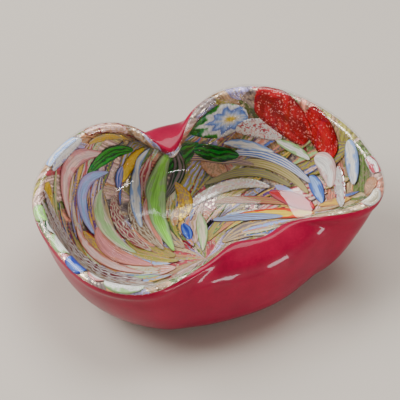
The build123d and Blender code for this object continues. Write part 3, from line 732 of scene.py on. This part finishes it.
def add_strip(target, layers, chip, lift, number, columns, rows):
    """Adds one chip to the mesh: a grid laid along a curve through three places on the inside."""
    start, middle, end, width, bluntness, tone, other = chip
    first, last = on_chart(*start), on_chart(*end)
    bow = 2 * on_chart(*middle) - (first + last) / 2
    made = bmesh.ops.create_grid(target, x_segments=columns, y_segments=rows, size=0.5)["verts"]
    place = np.array([v.co for v in made])
    side, share = place[:, 0] * 2, place[:, 1] + 0.5
    t = share[:, None]
    spine = first * (1 - t) ** 2 + 2 * bow * t * (1 - t) + last * t**2
    along = unit((bow - first) * (1 - t) + (last - bow) * t)
    across = np.stack([-along[:, 1], along[:, 0]], -1)
    belly = TIP + (1 - TIP) * np.sin(np.pi * np.clip(share, 0, 1)) ** bluntness
    flat = spine + across * (width / 2 / MILLIMETRES_PER_RUN * belly * side)[:, None]
    azimuth, run = np.arctan2(flat[:, 1], flat[:, 0]), np.hypot(flat[:, 0], flat[:, 1])
    centres = in_frame(melt_place(azimuth, run, lift))
    centimetres = np.linalg.norm(last - first) * MILLIMETRES_PER_RUN / 10
    chart, first_tone, second_tone = layers
    for vertex, spot in zip(made, centres):
        vertex.co = spot
        vertex[first_tone] = (*TONES[tone], 1)
        vertex[second_tone] = (*TONES[other], 1)
    shift = CHART_STEP * number
    spots = {v: (0.5 + s / 2, u * centimetres + shift) for v, s, u in zip(made, side, share)}
    for face in {f for v in made for f in v.link_faces}:
        for loop in face.loops:
            loop[chart].uv = spots[loop.vert]


def thicken(piece, thickness):
    """Gives a sheet a thickness in metres, half to each side."""
    wall = piece.modifiers.new("thickness", "SOLIDIFY")
    wall.thickness = thickness
    wall.offset = 0


def chips_piece(name, slot, material, chips, lift, order, columns=8, rows=36):
    """All the chips of one kind, as one piece with a little thickness.

    Order sets small differences in depth, so that no two chips that cross share a surface."""
    target = bmesh.new()
    layers = (
        target.loops.layers.uv.new("chart"),
        target.verts.layers.float_color.new("tone"),
        target.verts.layers.float_color.new("other_tone"),
    )
    for number, chip in enumerate(chips):
        level = (5 * number + 4 * order) % (2 * STAGGER_STEPS + 1) - STAGGER_STEPS
        stagger = STAGGER * level / STAGGER_STEPS
        add_strip(target, layers, chip, lift + stagger, number, columns, rows)
    bmesh.ops.reverse_faces(target, faces=target.faces)
    nodes = [name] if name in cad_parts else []
    piece = new_piece(name + "_glass", smooth_mesh(target, name), material, slot, *nodes)
    thicken(piece, bpy.context.scene.glass_bowl_sizes.chip_thickness)


class GLASSBOWL_OT_casing(bpy.types.Operator):
    """Give the red casing its mottled glass"""

    bl_idname = "glass_bowl.casing"
    bl_label = "Red casing"

    def execute(self, context):
        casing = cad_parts["red_casing"]
        casing.data.materials.clear()
        casing.data.materials.append(red_casing_glass())
        return {"FINISHED"}


class GLASSBOWL_OT_lining(bpy.types.Operator):
    """Case the inside with clear glass that turns out over the rim"""

    bl_idname = "glass_bowl.lining"
    bl_label = "Clear lining"

    def execute(self, context):
        sizes = context.scene.glass_bowl_sizes
        target, made, place = unit_grid(sizes.lining_columns, sizes.lining_rows)
        step = np.interp(place[:, 1], LINING_ROW_SHARES, range(5))
        centres = in_frame(lining_place(SEAM + 2 * np.pi * place[:, 0], step))
        for vertex, spot in zip(made, centres):
            vertex.co = spot
        bmesh.ops.remove_doubles(target, verts=target.verts, dist=MERGE)
        bmesh.ops.recalc_face_normals(target, faces=target.faces)
        mesh = smooth_mesh(target, "lining_glass")
        new_piece("lining_glass", mesh, clear_lining_glass(), "clear_glass", "clear_lining")
        return {"FINISHED"}


class GLASSBOWL_OT_foil(bpy.types.Operator):
    """Lay the silver foil over the inside and out over the rim"""

    bl_idname = "glass_bowl.foil"
    bl_label = "Silver foil"

    def execute(self, context):
        sizes = context.scene.glass_bowl_sizes
        target, _, place = unit_grid(sizes.foil_columns, sizes.foil_rows)
        chart = target.loops.layers.uv.new("chart")
        azimuth = SEAM + 2 * np.pi * place[:, 0]
        last_run = 1 + NOSE_RUN * FOIL_NOSE_SHARE
        run = np.interp(place[:, 1], (0, FOIL_RIM_ROW, 1), (0, 1, last_run))
        lift = np.interp(run, FOIL_RISE_RUNS, (FOIL_LIFT, FOIL_RIM_LIFT))
        centres = in_frame(melt_place(azimuth, run, lift))
        turned = place[:, 0] + SWIRL / 360 * (1 - run)
        spots = {}
        # the new layer has moved the corners in memory, so they are taken afresh
        for vertex, spot, u, v in zip(target.verts, centres, turned, run):
            vertex.co = spot
            spots[vertex] = (u, v)
        for face in target.faces:
            for loop in face.loops:
                loop[chart].uv = spots[loop.vert]
        bmesh.ops.remove_doubles(target, verts=target.verts, dist=MERGE)
        bmesh.ops.reverse_faces(target, faces=target.faces)
        mesh = smooth_mesh(target, "silver_foil")
        piece = new_piece("silver_foil", mesh, swirled_foil(), "silver_foil", "silver_leaf")
        thicken(piece, FOIL_THICKNESS)
        return {"FINISHED"}


class GLASSBOWL_OT_lower_course(bpy.types.Operator):
    """Lay the lower course of broad cane leaves round the swirl"""

    bl_idname = "glass_bowl.lower_course"
    bl_label = "Lower course"

    def execute(self, context):
        for index, (name, kind) in enumerate(LEAF_KINDS.items()):
            slot, stripes, wander, share, fleck, tones, other = kind
            leaves = []
            for row, (far, near) in enumerate(LEAF_ROWS):
                for place in range(LEAVES_ROUND):
                    if (place + 2 * row) % len(LEAF_KINDS) != index:
                        continue
                    rim_azimuth = 360 * (place + row / 2) / LEAVES_ROUND
                    runs = (far, (far + near) / 2, near)
                    places = [(rim_azimuth + SWIRL * (1 - run), run) for run in runs]
                    width = LEAF_WIDTH * (LEAF_TAPER + (1 - LEAF_TAPER) * far)
                    tone = tones[(place // len(LEAF_KINDS) + row) % len(tones)]
                    leaves.append((*places, width, LEAF_BLUNTNESS, tone, other))
            material = cane_glass(slot + "_glass", stripes, wander, share, fleck)
            chips_piece(name, slot, material, leaves, UNDER, index)
        return {"FINISHED"}


class GLASSBOWL_OT_slender_canes(bpy.types.Operator):
    """Scatter slender drawn canes between the two courses, all leaning with the swirl"""

    bl_idname = "glass_bowl.slender_canes"
    bl_label = "Slender canes"

    def execute(self, context):
        chance = np.random.default_rng(SLENDER_SEED)
        canes = []
        for _ in range(context.scene.glass_bowl_sizes.slender_canes):
            far = chance.uniform(*SLENDER_FAR)
            near = far - chance.uniform(*SLENDER_RUN)
            turn = chance.uniform(0, 360)
            lean = SWIRL * chance.uniform(*SLENDER_LEAN)
            runs = (far, (far + near) / 2, max(near, SLENDER_NEAREST))
            places = [(turn + lean * (far - run), run) for run in runs]
            tones = chance.choice(SLENDER_TONES, 2, replace=False)
            canes.append((*places, chance.uniform(*SLENDER_WIDTH), LEAF_BLUNTNESS, *tones))
        material = cane_glass("slender_cane_glass", 1, 0.5, 0.12, "gold")
        chips_piece("slender_canes", "smoke_cane", material, canes, MIDDLE, 0, columns=5, rows=18)
        return {"FINISHED"}


class GLASSBOWL_OT_upper_course(bpy.types.Operator):
    """Lay the upper course of chips, canes, ribbons and patches"""

    bl_idname = "glass_bowl.upper_course"
    bl_label = "Upper course"

    def execute(self, context):
        for order, (name, kind) in enumerate(KINDS.items()):
            slot, stripes, wander, share, fleck, chips = kind
            if slot == "murrine":
                material = murrina_glass("flower_murrina_glass", MURRINA_WIDTH, MURRINA_EYE)
            elif slot == "lace_cane":
                material = lace_glass("lace_cane_glass")
            else:
                material = cane_glass(slot + "_glass", stripes, wander, share, fleck)
            chips_piece(name, slot, material, chips, OVER, order)
        return {"FINISHED"}


class GLASSBOWL_OT_stage(bpy.types.Operator):
    """Add the floor, the lights and the camera"""

    bl_idname = "glass_bowl.stage"
    bl_label = "Stage"

    def execute(self, context):
        sizes = context.scene.glass_bowl_sizes
        ground = bmesh.new()
        bmesh.ops.create_grid(ground, x_segments=1, y_segments=1, size=sizes.floor_width / 2)
        mesh = bpy.data.meshes.new("floor")
        ground.to_mesh(mesh)
        ground.free()
        floor = bpy.data.objects.new("floor", mesh)
        mesh.materials.append(floor_paper())
        context.scene.collection.objects.link(floor)
        for light in LIGHTS:
            add_light(*light)
        world = bpy.data.worlds.new("soft_room")
        world.use_nodes = True
        background = world.node_tree.nodes["Background"]
        background.inputs["Color"].default_value = ROOM_COLOUR
        background.inputs["Strength"].default_value = ROOM_STRENGTH
        context.scene.world = world
        add_camera(sizes.camera_distance)
        return {"FINISHED"}


def look_at(thing, place, target):
    """Puts a light or camera at a place and turns it towards a target."""
    thing.location = place
    thing.rotation_euler = (Vector(target) - Vector(place)).to_track_quat("-Z", "Y").to_euler()


def add_light(name, place, size, power):
    data = bpy.data.lights.new(name, "AREA")
    data.shape = "RECTANGLE"
    data.size, data.size_y = size
    data.energy = power
    light = bpy.data.objects.new(name, data)
    look_at(light, place, LIGHT_TARGET)
    bpy.context.scene.collection.objects.link(light)


def add_camera(distance):
    target = Vector(CAMERA_TARGET)
    away = Vector((math.sin(CAMERA_AZIMUTH), -math.cos(CAMERA_AZIMUTH), 0))
    away *= math.cos(CAMERA_ELEVATION)
    away.z = math.sin(CAMERA_ELEVATION)
    data = bpy.data.cameras.new("camera")
    data.lens, data.sensor_width = CAMERA_LENS, CAMERA_SENSOR
    data.shift_x, data.shift_y = CAMERA_SHIFT
    camera = bpy.data.objects.new("camera", data)
    look_at(camera, target + away * distance, target)
    bpy.context.scene.collection.objects.link(camera)
    bpy.context.scene.camera = camera


class GLASSBOWL_PT_panel(bpy.types.Panel):
    """Lists the bowl's pieces, sizes and colours"""

    bl_label = "Glass bowl"
    bl_idname = "GLASSBOWL_PT_panel"
    bl_space_type = "VIEW_3D"
    bl_region_type = "UI"
    bl_category = "Glass bowl"

    def draw(self, context):
        layout = self.layout
        for step in STEPS:
            layout.operator(step.bl_idname)
        for group in (context.scene.glass_bowl_sizes, context.scene.glass_bowl_colours):
            for name in group.bl_rna.properties.keys():
                if name not in ("rna_type", "name"):
                    layout.prop(group, name)


STEPS = (
    GLASSBOWL_OT_stage,
    GLASSBOWL_OT_casing,
    GLASSBOWL_OT_foil,
    GLASSBOWL_OT_lower_course,
    GLASSBOWL_OT_slender_canes,
    GLASSBOWL_OT_upper_course,
    GLASSBOWL_OT_lining,
)
CLASSES = (GlassBowlSizes, GlassBowlColours, *STEPS, GLASSBOWL_PT_panel)


def register():
    for made in CLASSES:
        bpy.utils.register_class(made)
    bpy.types.Scene.glass_bowl_sizes = PointerProperty(type=GlassBowlSizes)
    bpy.types.Scene.glass_bowl_colours = PointerProperty(type=GlassBowlColours)


def unregister():
    del bpy.types.Scene.glass_bowl_sizes
    del bpy.types.Scene.glass_bowl_colours
    for made in reversed(CLASSES):
        bpy.utils.unregister_class(made)


def main():
    register()
    bpy.ops.glass_bowl.stage()
    bpy.ops.glass_bowl.casing()
    bpy.ops.glass_bowl.foil()
    bpy.ops.glass_bowl.lower_course()
    bpy.ops.glass_bowl.slender_canes()
    bpy.ops.glass_bowl.upper_course()
    bpy.ops.glass_bowl.lining()


if __name__ == "__main__":
    main()
